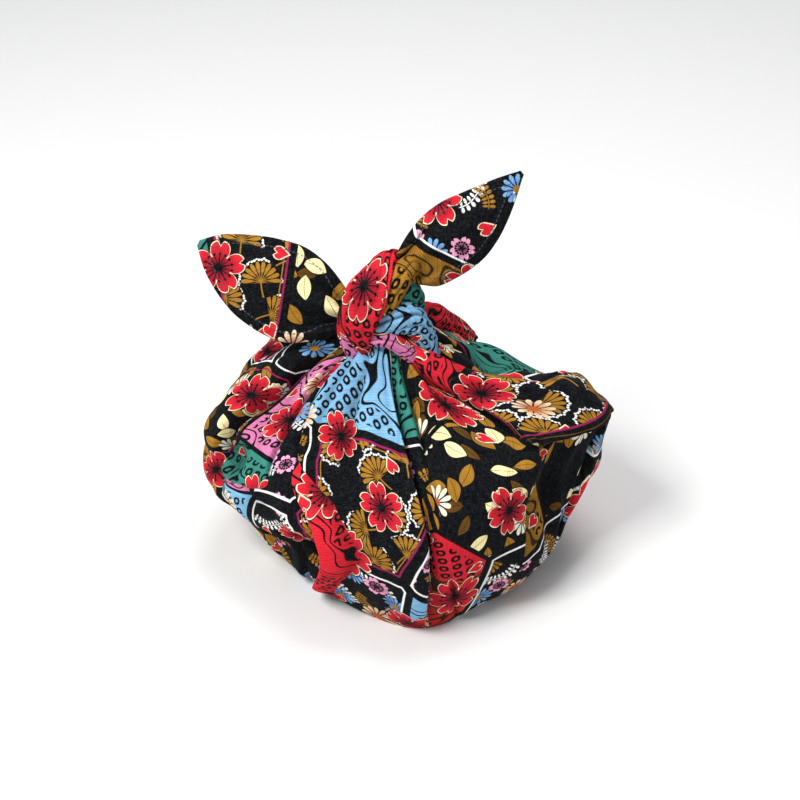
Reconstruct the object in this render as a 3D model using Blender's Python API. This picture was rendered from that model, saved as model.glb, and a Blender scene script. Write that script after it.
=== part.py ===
"""A square lunch cloth knotted over a lunch: one cloth, its bundle, its knot and its two corner ears.

Metres, +Z up. The origin is the centre of the flat underside. The near side of the bundle faces -Y.
Bearings are degrees about +Z, seen from above: 0 is the right end (+X), 90 the back, 180 the left end.
Tables are in millimetres.
"""
from collections import namedtuple

import bmesh
import bpy
import numpy as np

MM = 0.001
CLOTH_COLOUR = (0.02, 0.03, 0.04)  # the navy-black ground of the print
CLOTH_ROUGHNESS = 0.85
CLOTH_THICKNESS = 1.6  # the cotton at its ears, with the turned hem

# The bundle's outline up one side for a row of bearings: radius, then height, of each place.
# base is the edge of the flat underside, belly the widest part below, tuck the hollow under a lip,
# lip the edge of a turned fold, crown the top of the shoulder, slope a place on the way to the knot.
Section = namedtuple(
    "Section", "bearing base belly belly_z tuck tuck_z lip lip_z crown crown_z slope slope_z"
)
SECTIONS = [
    Section(0, 59, 80, 30, 86, 50, 91, 70, 82, 82, 47, 92),
    Section(22, 59, 73, 28, 77, 48, 82, 63, 71, 71, 40, 90),
    Section(50, 58, 70, 28, 71, 46, 69, 58, 56, 69, 33, 89),
    Section(80, 60, 73, 30, 74, 45, 70, 60, 57, 74, 34, 93),
    Section(110, 61, 76, 30, 78, 45, 75, 61, 63, 76, 38, 95),
    Section(135, 61, 79, 30, 82, 46, 82, 62, 71, 79, 43, 97),
    Section(160, 60, 83, 32, 86, 45, 88, 59, 78, 76, 48, 95),
    Section(180, 58, 87, 34, 93, 45, 92, 56, 85, 71, 50, 92),
    Section(200, 54, 79, 31, 86, 43, 85, 55, 75, 70, 44, 90),
    Section(225, 54, 68, 26, 74, 42, 75, 55, 66, 69, 40, 89),
    Section(250, 60, 71, 28, 75, 44, 75, 56, 65, 70, 39, 89),
    Section(275, 67, 75, 28, 77, 44, 75, 56, 65, 70, 38, 90),
    Section(300, 60, 73, 28, 74, 46, 71, 62, 61, 75, 38, 92),
    Section(318, 60, 75, 28, 68, 56, 73, 78, 63, 87, 40, 96),
    Section(335, 58, 77, 30, 70, 58, 80, 80, 71, 90, 43, 97),
    Section(348, 58, 80, 30, 79, 53, 88, 77, 78, 90, 46, 96),
]
NECK_RADIUS = 12
NECK_Z = 114
NECK_X = -10  # the knot stands a little left of the middle
NECK_Y = 1
# Levels count the outline's places: 1 base, 3 belly, 4 tuck, 5 lip, 6 crown, 7 slope, 8 neck.
ROWS_PER_LEVEL = (1, 2, 4, 4, 5, 5, 6, 4)
COLUMNS = 100
LEAN_START = 5.0  # the level from which the outline moves over towards the knot

# A fold runs up the bundle from one level to another, through three bearings. It stands proud by rise,
# fades over cw and ccw to its two sides, and its edge leans over its neighbour by lean.
Fold = namedtuple("Fold", "name low high foot middle top rise cw ccw lean")
FOLDS = [
    Fold("left roll", 5.2, 8.0, 190, 187, 182, 7, 18, 3.5, 2.5),
    Fold("left corner ridge", 4.3, 8.0, 231, 222, 205, 4, 9, 10, 0),
    Fold("corner curl", 1.8, 6.2, 226, 250, 229, 5, 3.5, 9, 0),
    Fold("front pleat", 2.6, 8.0, 273, 274, 262, 5, 15, 2.5, 2.0),
    Fold("narrow pleat", 6.3, 8.0, 280, 281, 276, 3.5, 3, 2.5, 0.5),
    Fold("right roll", 6.4, 8.0, 352, 334, 308, 6, 5, 8, -2.0),
    Fold("front crease", 1.6, 5.5, 276, 276, 276, -3, 5, 6, 0),
    Fold("lobe crease", 6.0, 7.2, 314, 318, 330, -3, 6, 6, 0),
    Fold("back right ridge", 6.2, 8.0, 30, 36, 50, 7, 9, 9, 0),
    Fold("back pleat", 3.0, 8.0, 92, 95, 110, 5, 14, 3, 2.0),
    Fold("back left ridge", 4.5, 8.0, 140, 138, 150, 5, 10, 12, 0),
    Fold("back right valley", 5.0, 8.0, 62, 64, 78, -4, 8, 8, 0),
    Fold("back left valley", 5.5, 8.0, 118, 118, 128, -4, 8, 8, 0),
]

# A hollow is a pocket pressed into the side: where it is, its size across and up, and how deep.
Hollow = namedtuple("Hollow", "name bearing level across up depth")
HOLLOWS = [
    Hollow("left pocket", 196, 5.6, 8, 8, 5),
    Hollow("corner scoop", 231, 3.3, 7, 11, 8),
]

# The knot's rolls are flattened tubes: a place on the middle line, half its width, half its thickness.
Place = namedtuple("Place", "x y z wide thick")
KNOT_ROLLS = {
    "knot_core": [
        Place(-15, 0, 98, 11, 10), Place(-14, 0, 112, 13, 12), Place(-13, 0, 127, 14, 12.5),
        Place(-11, 0, 138, 12, 11), Place(-9, 0, 147, 7, 7),
    ],
    "front_wrap": [
        Place(-20, -8, 104, 5, 4), Place(-21, -13, 114, 7, 5), Place(-20.5, -14.5, 123, 10, 6),
        Place(-18.5, -14.5, 132, 12, 6.5), Place(-15, -12.5, 141, 11.5, 6.5), Place(-10.5, -7, 148.5, 9, 6),
        Place(-7, 0.5, 150, 8.5, 5.5), Place(-6, 8, 145, 9, 5), Place(-6, 11, 134, 10, 5), Place(-8, 10, 120, 7, 5),
    ],
    "back_wrap": [
        Place(-8, -8, 141, 4, 4), Place(-1, -4, 138, 6, 4.5), Place(2, 1, 130, 7, 4.5),
        Place(0, 5, 120, 6, 4.5), Place(-6, 5, 110, 4, 4),
    ],
    "gathered_roll": [
        Place(-17, -8, 107, 5, 5), Place(-13.5, -11, 115, 6, 6), Place(-7, -11, 120, 7, 6.5),
        Place(0.5, -8.5, 120.5, 7, 6.5), Place(7, -6, 116, 6.5, 6), Place(11, -5, 108, 5.5, 5),
        Place(13, -4, 99, 4, 4),
    ],
    "back_roll": [
        Place(-4, 4, 111, 4, 4), Place(5, 8, 115, 5.5, 5), Place(12, 15, 110.5, 7, 6),
        Place(18, 23, 101.5, 7, 5.5), Place(24, 31, 92.5, 6, 5), Place(29, 40, 83, 4, 4),
    ],
    "side_gather": [
        Place(-24, -1, 128, 3, 3), Place(-28, -7, 122, 5, 3.5), Place(-27, -11, 114, 5, 3.5),
        Place(-22, -10, 104, 3, 3),
    ],
}
ROLL_SIDES = 12
ROLL_STEPS = 3  # rings from one place to the next

# An ear is a corner of the cloth: how far along its middle, and the cloth above and below that line.
# bend is how far the edges turn away from the near side, bow how far the middle line does.
Span = namedtuple("Span", "along above below bend_above bend_below bow")
LEFT_EAR = [
    Span(-7, 6, 7, 2, 2, 1), Span(0, 9, 11, 3, 4, 0), Span(6, 12.5, 17, 4, 6, -1), Span(15, 16.5, 22, 5, 7, -2),
    Span(26, 18.5, 23.2, 5, 7, -2), Span(38, 16.5, 21.5, 4, 5, -1), Span(46, 14, 18.5, 3, 4, 1),
    Span(54, 10.8, 14, 2, 2, 3), Span(61, 7, 8.5, 1, 1, 5), Span(67.5, 1.2, 1.2, 0, 0, 7),
]
RIGHT_EAR = [
    Span(-7, 4, 5, 1, 2, 2), Span(0, 5.5, 9.5, 2, 5, 0), Span(5, 7.5, 15, 3, 11, -1), Span(12, 10, 17, 4, 13, -2),
    Span(21, 11.8, 18.2, 4, 12, -2), Span(30, 11.6, 18, 4, 10, -1), Span(39, 9.4, 15.7, 3, 7, 0),
    Span(47, 7.1, 12.2, 2, 4, 2), Span(55, 4.8, 7.6, 1, 2, 4), Span(61, 2.6, 3.6, 0, 1, 5), Span(65, 1, 1, 0, 0, 6),
]
Ear = namedtuple("Ear", "name root tip faces spans pleats")
EARS = [
    Ear("left_ear", (-30.5, -3, 125.6), (-91.0, 6, 155.3), 1, LEFT_EAR, 3.0),
    Ear("right_ear", (-3.6, 0, 145.9), (45.6, 6, 188.3), -1, RIGHT_EAR, 0.5),
]
NEAR_SIDE = (0, -0.82, 0.57)  # the way an ear faces
EAR_STEPS = 2
EAR_COLUMNS = 10


def round_curve(bearings, values, at):
    """A smooth closed curve through values at bearings, read at other bearings."""
    b = np.array(bearings, float)
    v = np.array(values, float)
    b = np.concatenate([b[-2:] - 360, b, b[:2] + 360])
    v = np.concatenate([v[-2:], v, v[:2]])
    steepness = np.zeros(len(b))
    steepness[1:-1] = (v[2:] - v[:-2]) / (b[2:] - b[:-2])
    i = np.clip(np.searchsorted(b, at, side="right") - 1, 1, len(b) - 3)
    span = b[i + 1] - b[i]
    t = (at - b[i]) / span
    return (
        (2 * t**3 - 3 * t**2 + 1) * v[i]
        + (t**3 - 2 * t**2 + t) * span * steepness[i]
        + (3 * t**2 - 2 * t**3) * v[i + 1]
        + (t**3 - t**2) * span * steepness[i + 1]
    )


def smooth_step(low, high, at):
    t = np.clip((at - low) / (high - low), 0, 1)
    return t * t * (3 - 2 * t)


def between(places, k, t):
    """A point on a smooth curve through a list of places, t of the way from place k to the next."""
    a, b = places[k], places[k + 1]
    before = places[k - 1] if k > 1 else 2 * a - b
    after = places[k + 2] if k + 2 < len(places) else 2 * b - a
    return 0.5 * (
        2 * a + (b - before) * t
        + (2 * before - 5 * a + 4 * b - after) * t**2
        + (3 * a - before - 3 * b + after) * t**3
    )


def bundle_outline(columns, rows_per_level):
    """Bearings, levels, and the radius and height of each point, before any fold."""
    bearings = np.arange(columns) * 360 / columns
    read = {
        name: round_curve([s.bearing for s in SECTIONS], [getattr(s, name) for s in SECTIONS], bearings)
        for name in Section._fields[1:]
    }
    flat = np.zeros(columns)
    radii = [
        flat, read["base"], read["base"] + 0.5 * (read["belly"] - read["base"]), read["belly"],
        read["tuck"], read["lip"], read["crown"], read["slope"], flat + NECK_RADIUS,
    ]
    heights = [
        flat, flat, 0.27 * read["belly_z"], read["belly_z"],
        read["tuck_z"], read["lip_z"], read["crown_z"], read["slope_z"], flat + NECK_Z,
    ]
    radius, height, level = [], [], []
    for k, rows in enumerate(rows_per_level):
        for j in range(rows):
            t = j / rows
            radius.append(between(radii, k, t) if k else radii[1] * t)
            height.append(between(heights, k, t) if k else flat)
            level.append(k + t)
    return (
        bearings,
        np.array(level + [len(rows_per_level)]),
        np.array(radius + [radii[-1]]),
        np.array(height + [heights[-1]]),
    )


def bundle_points(columns=COLUMNS, rows_per_level=ROWS_PER_LEVEL):
    """The bundle's skin as rows of points, from the underside's centre up to the neck."""
    bearings, level, radius, height = bundle_outline(columns, rows_per_level)
    bearing, lev = np.meshgrid(bearings, level)
    a = np.radians(bearing)
    over = smooth_step(LEAN_START, 8, lev)
    skin = np.stack([NECK_X * over + radius * np.cos(a), NECK_Y * over + radius * np.sin(a), height], -1)
    up = np.gradient(skin, axis=0)
    round_it = (np.roll(skin, -1, axis=1) - np.roll(skin, 1, axis=1)) / 2
    out = np.cross(round_it, up)
    out /= np.maximum(np.linalg.norm(out, axis=-1, keepdims=True), 1e-9)
    sideways = np.stack([-np.sin(a), np.cos(a), 0 * a], -1)
    moved = np.zeros_like(skin)
    for f in FOLDS:
        t = np.clip((lev - f.low) / (f.high - f.low), 0, 1)
        line = f.foot * (1 - t) * (1 - 2 * t) + 4 * f.middle * t * (1 - t) + f.top * t * (2 * t - 1)
        away = ((bearing - line + 180) % 360 - 180) * np.pi / 180 * radius
        bell = np.exp(-((away / np.where(away < 0, f.cw, f.ccw)) ** 2))
        strength = smooth_step(f.low - 0.5, f.low + 0.7, lev) * (1 - 0.5 * smooth_step(7.2, 8, lev))
        if f.high < 8:
            strength *= 1 - smooth_step(f.high - 0.4, f.high + 0.5, lev)
        moved += (strength * bell)[..., None] * (f.rise * out + f.lean * sideways)
    for h in HOLLOWS:
        row = np.abs(level - h.level).argmin()
        column = np.abs(bearings - h.bearing).argmin()
        centre = skin[row, column]
        gap = skin - centre
        away = (gap * sideways).sum(-1) / h.across
        high = (gap * up / np.maximum(np.linalg.norm(up, axis=-1, keepdims=True), 1e-9)).sum(-1) / h.up
        near = np.linalg.norm(gap, axis=-1) < 3 * max(h.across, h.up)
        pressed = np.exp(-((away**2 + high**2) ** 1.5)) * near
        moved -= (pressed * h.depth)[..., None] * out
    skin = skin + moved * smooth_step(1.0, 2.2, lev)[..., None]
    skin[..., 2] = np.where(lev <= 1, 0, np.maximum(skin[..., 2], 0.3))
    return bearings, level, skin


def closed_tube(name, rings, start, end):
    """A closed shape from rows of points, each row a ring, with a point at each end."""
    bm = bmesh.new()
    first = bm.verts.new(start * MM)
    last = bm.verts.new(end * MM)
    rows = [[bm.verts.new(p * MM) for p in ring] for ring in rings]
    n = len(rows[0])
    for i in range(n):
        j = (i + 1) % n
        bm.faces.new((first, rows[0][j], rows[0][i]))
        bm.faces.new((last, rows[-1][i], rows[-1][j]))
        for low, high in zip(rows, rows[1:]):
            bm.faces.new((low[i], low[j], high[j], high[i]))
    return as_object(name, bm)


def closed_sheet(name, front, back):
    """A closed sheet from the rows of points of its two sides."""
    bm = bmesh.new()
    front, back = ([[bm.verts.new(p * MM) for p in row] for row in side] for side in (front, back))
    across, along = len(front[0]) - 1, len(front) - 1
    for j in range(along):
        for i in range(across):
            bm.faces.new((front[j][i], front[j][i + 1], front[j + 1][i + 1], front[j + 1][i]))
            bm.faces.new((back[j][i], back[j + 1][i], back[j + 1][i + 1], back[j][i + 1]))
    for j in range(along):
        bm.faces.new((back[j][0], front[j][0], front[j + 1][0], back[j + 1][0]))
        bm.faces.new((front[j][across], back[j][across], back[j + 1][across], front[j + 1][across]))
    for i in range(across):
        bm.faces.new((front[0][i], back[0][i], back[0][i + 1], front[0][i + 1]))
        bm.faces.new((back[along][i], front[along][i], front[along][i + 1], back[along][i + 1]))
    return as_object(name, bm)


def as_object(name, bm):
    bmesh.ops.triangulate(bm, faces=bm.faces[:])
    if bm.calc_volume(signed=True) < 0:
        bmesh.ops.reverse_faces(bm, faces=bm.faces[:])
    mesh = bpy.data.meshes.new(name)
    bm.to_mesh(mesh)
    bm.free()
    mesh.shade_smooth()
    ob = bpy.data.objects.new(name, mesh)
    bpy.context.collection.objects.link(ob)
    return ob


def along_curve(places, steps):
    """A smooth line through places, each a row of numbers, with steps points from one to the next."""
    rows = [np.array(p, float) for p in places]
    rows = [2 * rows[0] - rows[1]] + rows
    line = [between(rows, k, j / steps) for k in range(1, len(rows) - 1) for j in range(steps)]
    return np.array(line + [rows[-1]])


def make_roll(name, places):
    line = along_curve(places, ROLL_STEPS)
    middle = line[:, :3]
    ahead = np.gradient(middle, axis=0)
    ahead /= np.linalg.norm(ahead, axis=1, keepdims=True)
    core = along_curve(KNOT_ROLLS["knot_core"], 20)[:, :3]
    rings = []
    for point, way, (wide, thick) in zip(middle, ahead, line[:, 3:]):
        nearest = core[np.abs(core[:, 2] - point[2]).argmin()]
        out = point - nearest if name != "knot_core" else np.array([0, -1.0, 0])
        out = out - way * (out @ way)
        out /= np.linalg.norm(out)
        across = np.cross(way, out)
        turn = np.arange(ROLL_SIDES) * 2 * np.pi / ROLL_SIDES
        rings.append(point + np.outer(np.cos(turn) * wide, across) + np.outer(np.sin(turn) * thick, out))
    return closed_tube(name, rings, middle[0] - ahead[0], middle[-1] + ahead[-1])


def make_ear(ear):
    root, tip = np.array(ear.root, float), np.array(ear.tip, float)
    along = (tip - root) / np.linalg.norm(tip - root)
    face = np.array(NEAR_SIDE) - along * np.dot(NEAR_SIDE, along)
    face /= np.linalg.norm(face)
    above = np.cross(along, face) * ear.faces
    rows = along_curve(ear.spans, EAR_STEPS)
    side = np.linspace(-1, 1, EAR_COLUMNS)
    middle = []
    for s, up, down, bend_up, bend_down, bow in rows:
        width = np.where(side > 0, up, down)
        bend = np.where(side > 0, bend_up, bend_down) * np.abs(side) ** 2.2
        gathers = ear.pleats * np.cos(side * 7.5) * np.exp(-((max(s, 0) / 14) ** 2))
        middle.append(
            root + s * along + np.outer(side * width, above) + np.outer(gathers - bend - bow, face)
        )
    middle = np.array(middle)
    away = np.cross(np.gradient(middle, axis=0), np.gradient(middle, axis=1))
    away /= np.linalg.norm(away, axis=-1, keepdims=True)
    half = away * CLOTH_THICKNESS / 2
    return closed_sheet(ear.name, middle + half, middle - half)


def cloth_material():
    cotton = bpy.data.materials.new("printed_cotton")
    cotton.use_nodes = True
    shader = cotton.node_tree.nodes["Principled BSDF"]
    shader.inputs["Base Color"].default_value = (*CLOTH_COLOUR, 1)
    shader.inputs["Roughness"].default_value = CLOTH_ROUGHNESS
    shader.inputs["Metallic"].default_value = 0
    return cotton


def make_bundle():
    bearings, level, skin = bundle_points()
    return closed_tube("wrapped_cloth", skin[1:], np.zeros(3), np.array([NECK_X, NECK_Y, NECK_Z], float))


def join(whole, piece):
    """One cloth: the piece becomes part of the whole, and is then only a guide."""
    union = whole.modifiers.new(piece.name, "BOOLEAN")
    union.operation = "UNION"
    union.solver = "EXACT"
    union.object = piece
    piece.hide_render = True
    piece.display_type = "WIRE"


def main():
    for ob in list(bpy.data.objects):
        bpy.data.objects.remove(ob)
    cloth = make_bundle()
    cloth.data.materials.append(cloth_material())
    for name, places in KNOT_ROLLS.items():
        join(cloth, make_roll(name, places))
    for ear in EARS:
        join(cloth, make_ear(ear))


main()
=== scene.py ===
# A printed cotton lunch cloth, wrapped round a lunch and tied in one knot.
# Metres, +Z up. The cloth's settings are in mm, and bearings in degrees about +Z, with 270 the near side.
import math
from collections import namedtuple

import bpy
import numpy as np
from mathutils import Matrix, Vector


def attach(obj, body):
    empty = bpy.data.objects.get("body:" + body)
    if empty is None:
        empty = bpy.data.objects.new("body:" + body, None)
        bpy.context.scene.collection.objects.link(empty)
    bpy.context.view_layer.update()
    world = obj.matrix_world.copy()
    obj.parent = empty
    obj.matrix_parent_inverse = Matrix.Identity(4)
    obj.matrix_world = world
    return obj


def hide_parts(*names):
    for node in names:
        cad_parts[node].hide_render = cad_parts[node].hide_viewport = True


mm = 0.001
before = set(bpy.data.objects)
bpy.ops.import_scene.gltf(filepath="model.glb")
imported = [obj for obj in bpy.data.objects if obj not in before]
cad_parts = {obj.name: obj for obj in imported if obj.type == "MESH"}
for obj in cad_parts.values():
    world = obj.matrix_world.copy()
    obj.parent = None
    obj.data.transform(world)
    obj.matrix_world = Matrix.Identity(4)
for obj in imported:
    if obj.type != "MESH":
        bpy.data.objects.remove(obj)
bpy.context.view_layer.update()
print("frame loaded:", ", ".join(sorted(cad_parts)))

# Camera

view = {"elevation": 35.0, "distance": 0.80, "lens": 80.0, "target": (-0.0045, 0.0, 0.077)}


def makeCamera():
    tilt = math.radians(view["elevation"])
    target = Vector(view["target"])
    back = Vector((0, -math.cos(tilt), math.sin(tilt)))
    data = bpy.data.cameras.new("camera")
    data.lens = view["lens"]
    data.sensor_width = 36.0
    data.clip_start = 0.01
    camera = bpy.data.objects.new("camera", data)
    camera.location = target + back * view["distance"]
    camera.rotation_euler = (-back).to_track_quat("-Z", "Y").to_euler()
    bpy.context.collection.objects.link(camera)
    bpy.context.scene.camera = camera


makeCamera()
print("camera set")

# Curves and steps shared by the cloth's pieces


def smoothStep(low, high, at):
    t = np.clip((at - low) / (high - low), 0, 1)
    return t * t * (3 - 2 * t)


def hermite(x, v, steepness, at):
    # the smooth curve through values v at places x, read at other places
    i = np.clip(np.searchsorted(x, at, side="right") - 1, 0, len(x) - 2)
    span = x[i + 1] - x[i]
    t = (at - x[i]) / span
    return (
        (2 * t**3 - 3 * t**2 + 1) * v[i]
        + (t**3 - 2 * t**2 + t) * span * steepness[i]
        + (3 * t**2 - 2 * t**3) * v[i + 1]
        + (t**3 - t**2) * span * steepness[i + 1]
    )


def lineThrough(knots, at):
    # a smooth line through (place, value) knots, held level past its ends
    x, v = (np.array(k, float) for k in zip(*knots))
    return hermite(x, v, np.gradient(v, x), np.clip(at, x[0], x[-1]))


def roundCurve(bearings, values, at):
    # a smooth closed curve through values at bearings, read at other bearings
    b = np.array(bearings, float)
    v = np.array(values, float)
    b = np.concatenate([b[-2:] - 360, b, b[:2] + 360])
    v = np.concatenate([v[-2:], v, v[:2]])
    steepness = np.zeros(len(b))
    steepness[1:-1] = (v[2:] - v[:-2]) / (b[2:] - b[:-2])
    return hermite(b, v, steepness, at)


def between(places, k, t):
    # a point on a smooth curve through places from number 1 on, t of the way from number k to the next
    a, b = places[k], places[k + 1]
    before = places[k - 1] if k > 1 else 2 * a - b
    after = places[k + 2] if k + 2 < len(places) else 2 * b - a
    return 0.5 * (
        2 * a + (b - before) * t
        + (2 * before - 5 * a + 4 * b - after) * t**2
        + (3 * a - before - 3 * b + after) * t**3
    )


def alongCurve(places, steps):
    # a smooth line through rows of numbers, with steps points from one row to the next
    rows = [np.array(p, float) for p in places]
    rows = [2 * rows[0] - rows[1]] + rows
    line = [between(rows, k, j / steps) for k in range(1, len(rows) - 1) for j in range(steps)]
    return np.array(line + [rows[-1]])


def unit(vectors):
    return vectors / np.maximum(np.linalg.norm(vectors, axis=-1, keepdims=True), 1e-9)


# The cloth, and where its places lie on the flat square

cloth = {"side": 500.0, "halfDiagonal": 353.0, "thickness": 0.6, "hemWidth": 5.0, "hemThickness": 1.4}


def clothPlace(run, across, bearing):
    # run is the way from the cloth's middle out to a corner or side at that bearing; the square's diagonals
    # lie along X and Y, so the weave runs at 45 degrees to them
    turn = math.radians(bearing + 45)
    ahead = np.array([math.cos(turn), math.sin(turn)])
    left = np.array([-math.sin(turn), math.cos(turn)])
    return run[..., None] * ahead + across[..., None] * left


def gridPiece(name, points, faces, corners, attributes):
    # a smooth mesh with its cloth UV map: corners holds a place on the flat cloth for each face corner, in mm
    mesh = bpy.data.meshes.new(name)
    mesh.from_pydata((points * mm).tolist(), [], faces)
    layer = mesh.uv_layers.new(name="cloth")
    flat = np.array(corners, np.float32) / cloth["side"] + 0.5
    layer.data.foreach_set("uv", flat.ravel())
    for key, values in attributes.items():
        mesh.attributes.new(key, "FLOAT", "POINT").data.foreach_set("value", np.array(values, np.float32))
    mesh.validate()
    mesh.shade_smooth()
    piece = bpy.data.objects.new(name, mesh)
    bpy.context.collection.objects.link(piece)
    return piece


# Bundle

# the outline at some bearings: how far out its edge, belly, tuck, lip, crown and slope are, and how high
Section = namedtuple(
    "Section", "bearing base belly bellyZ tuck tuckZ lip lipZ crown crownZ slope slopeZ"
)
sections = [
    Section(0, 59, 80, 30, 86, 50, 91, 70, 82, 82, 47, 92),
    Section(22, 59, 73, 28, 77, 48, 82, 63, 71, 71, 40, 90),
    Section(50, 58, 70, 28, 71, 46, 69, 58, 56, 69, 33, 89),
    Section(80, 60, 73, 30, 74, 45, 70, 60, 57, 74, 34, 93),
    Section(110, 61, 76, 30, 78, 45, 75, 61, 63, 76, 38, 95),
    Section(135, 61, 79, 30, 82, 46, 82, 62, 71, 79, 43, 97),
    Section(160, 60, 83, 32, 86, 45, 88, 59, 78, 76, 48, 95),
    Section(180, 58, 87, 34, 93, 45, 92, 56, 85, 71, 50, 92),
    Section(200, 54, 79, 31, 86, 43, 85, 55, 75, 70, 44, 90),
    Section(225, 54, 68, 26, 74, 42, 75, 55, 66, 69, 40, 89),
    Section(250, 60, 71, 28, 75, 44, 75, 56, 65, 70, 39, 89),
    Section(275, 67, 75, 28, 77, 44, 75, 56, 65, 70, 38, 90),
    Section(300, 60, 73, 28, 74, 46, 71, 62, 61, 75, 38, 92),
    Section(318, 60, 75, 28, 68, 56, 73, 78, 63, 87, 40, 96),
    Section(335, 58, 77, 30, 70, 58, 80, 80, 71, 90, 43, 97),
    Section(348, 58, 80, 30, 79, 53, 88, 77, 78, 90, 46, 96),
]

# Levels up the side: 0 middle of the underside, 1 its edge, 3 belly, 4 tuck, 5 lip, 6 crown, 7 slope, 8 neck
bundle = {
    "neckRadius": 12,
    "neckX": -10,
    "neckY": 1,
    "neckZ": 114,
    "leanStart": 5.0,
    "rowsPerLevel": (4, 8, 18, 20, 26, 26, 34, 24),
    "creaseDepth": 2.2,
    "creaseWidth": 1.25,
    # creases where the print's panels meet stay this far apart, as if the side were at least so wide
    "seamGap": 1.6,
    "seamRadius": 8,
    "gathers": 44,
    "pulls": 26,
    "creases": 80,
    "dents": 14,
    "dentDepth": 0.22,
    "seed": 11,
    # a place counts as a crest where it stands this far out of the columns on either side
    "crestRise": 1.6,
    "crestColumns": 9,
    # how far the print under the right lip is from the print above it, on the flat cloth, and where it starts
    "underLip": (107, -115),
    "underLipStart": -1.5,
    # the print bends no further than this to follow the side, and as if the side were at least so wide
    "bendLimit": 25,
    "bendRadius": 15,
}

# line is the fold's bearing at some levels; rise is how far it stands out, cw and ccw how wide it is on
# either side, lean how far it rolls over, and cut how far beside its line the crease lies that it rolls over
Fold = namedtuple("Fold", "name line rise cw ccw lean cut")
folds = [
    Fold("left roll", ((5.2, 190), (6.6, 188), (8, 182)), 7, 18, 2.6, 3.2, 3.9),
    Fold("left corner ridge", ((4.3, 231), (6.15, 220), (8, 205)), 4, 9, 10, 0, 0),
    Fold(
        "corner curl", ((2.0, 229), (2.9, 239), (4.0, 244), (5.1, 241), (6.2, 229)), 6.5, 2.6, 8, -3.0, -3.6
    ),
    Fold("front pleat", ((1.5, 273), (5.3, 273), (6.6, 271), (8, 262)), 5, 15, 2.0, 2.6, 3.0),
    Fold("narrow pleat", ((6.3, 280), (7.15, 281), (8, 276)), 3.5, 3, 2.0, 0.8, 2.8),
    Fold("right roll", ((6.3, 347), (6.8, 341), (7.4, 328), (8, 308)), 6, 6, 7, -2.0, 0),
    Fold("front crease", ((1.6, 276), (5.5, 276)), -3, 4, 5, 0, 0),
    Fold("lobe crease", ((6.0, 314), (7.2, 330)), -3, 6, 6, 0, 0),
    Fold("back right ridge", ((6.2, 30), (7.1, 34), (8, 50)), 7, 9, 9, 0, 0),
    Fold("back pleat", ((3, 92), (5.5, 96), (8, 110)), 5, 14, 2.2, 2.4, 3.2),
    Fold("back left ridge", ((4.5, 140), (6.2, 140), (8, 150)), 5, 10, 12, 0, 0),
    Fold("back right valley", ((5, 62), (6.5, 65), (8, 78)), -4, 8, 8, 0, 0.1),
    Fold("back left valley", ((5.5, 118), (6.8, 119), (8, 128)), -4, 8, 8, 0, 0.1),
    # creases too fine for the solid
    Fold("front edge", ((5.3, 237), (5.8, 232), (6.4, 224), (7, 220), (8, 224)), 2.2, 1.6, 7, -1.4, -2.4),
    Fold("curl groove", ((2.3, 240), (3.2, 249), (4.1, 253), (5.0, 249.5), (5.9, 242)), -2.2, 3, 4.5, 0, 0),
    Fold("curl hollow", ((2.2, 229), (3.0, 235), (4.0, 240), (5.1, 237.5)), -2.6, 5.5, 1.6, 0, 0),
    Fold("pink strip edge", ((5.6, 214), (6.6, 208), (8, 203)), 1.8, 6, 1.8, 1.0, 2.4),
    Fold(
        "roll edge", ((5.8, 321), (6.3, 323.5), (6.75, 325), (7.1, 321), (7.45, 312), (8, 300)),
        3, 1.6, 7, -2, -2.4,
    ),
    Fold("front soft ridge", ((5.2, 257), (6.6, 254), (8, 246)), 1.5, 6, 3.5, 0.5, 0),
    Fold("blue strip crease", ((6.2, 243), (7, 240), (8, 238)), -1.4, 2.2, 3, 0, 0),
    Fold("right roll back", ((6.2, 2), (6.8, 354), (7.4, 342), (8, 326)), -2.4, 2.4, 2.4, 0, 0.1),
    Fold(
        "front right edge", ((2.0, 304), (3.2, 309), (4.2, 314), (5.0, 319), (5.6, 321)),
        2.4, 9, 1.8, 1.6, 2.6,
    ),
    Fold("recess right edge", ((2.0, 335), (3.2, 343), (4.2, 350), (5.1, 353)), 1.8, 1.8, 6, -1.2, -2.6),
    Fold("recess crease", ((2.2, 322), (3.4, 327), (4.8, 333)), -1.8, 3, 4, 0, 0),
    Fold("recess ridge", ((2.4, 329), (3.6, 335), (4.9, 341)), 1.6, 3, 3, 0, 0),
    Fold("left side crease", ((1.2, 206), (3.4, 200), (5.4, 194)), -2.0, 2.4, 4, 0, 0),
    Fold("left base fold", ((1.1, 214), (2.2, 219), (3.6, 219)), 1.8, 5, 2, 0.6, 2.2),
    Fold("front base crease", ((1.0, 258), (2.0, 260), (3.0, 262)), -1.4, 2.5, 3, 0, 0),
    Fold("front base fold", ((1.0, 291), (2.2, 289), (3.4, 285)), 1.4, 2.2, 5, -0.6, -1.9),
    Fold("lobe ridge", ((5.8, 300), (6.8, 301), (8, 297)), 1.8, 5, 3, 0.8, 0),
    Fold("lobe second crease", ((6.1, 306), (7, 309), (8, 305)), -1.6, 2, 3, 0, 0),
    Fold("back base crease", ((1.0, 94), (4.6, 94)), -1.8, 3, 3, 0, 0),
    Fold("back side crease", ((1.0, 160), (3.3, 158), (5.6, 156), (8, 164)), 2.0, 8, 1.8, 1.4, 2.4),
    Fold("back side fold", ((1.2, 20), (3.3, 24), (5.6, 22), (8, 8)), 2.0, 2, 9, -1.4, -2.4),
    Fold("back hanging fold", ((2.0, 128), (4.0, 126), (6.0, 132)), 1.6, 4, 6, 0, 0),
    Fold("back small fold", ((2.4, 60), (4.2, 54), (6.4, 52)), 1.4, 6, 3, 0, 0),
]

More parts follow.
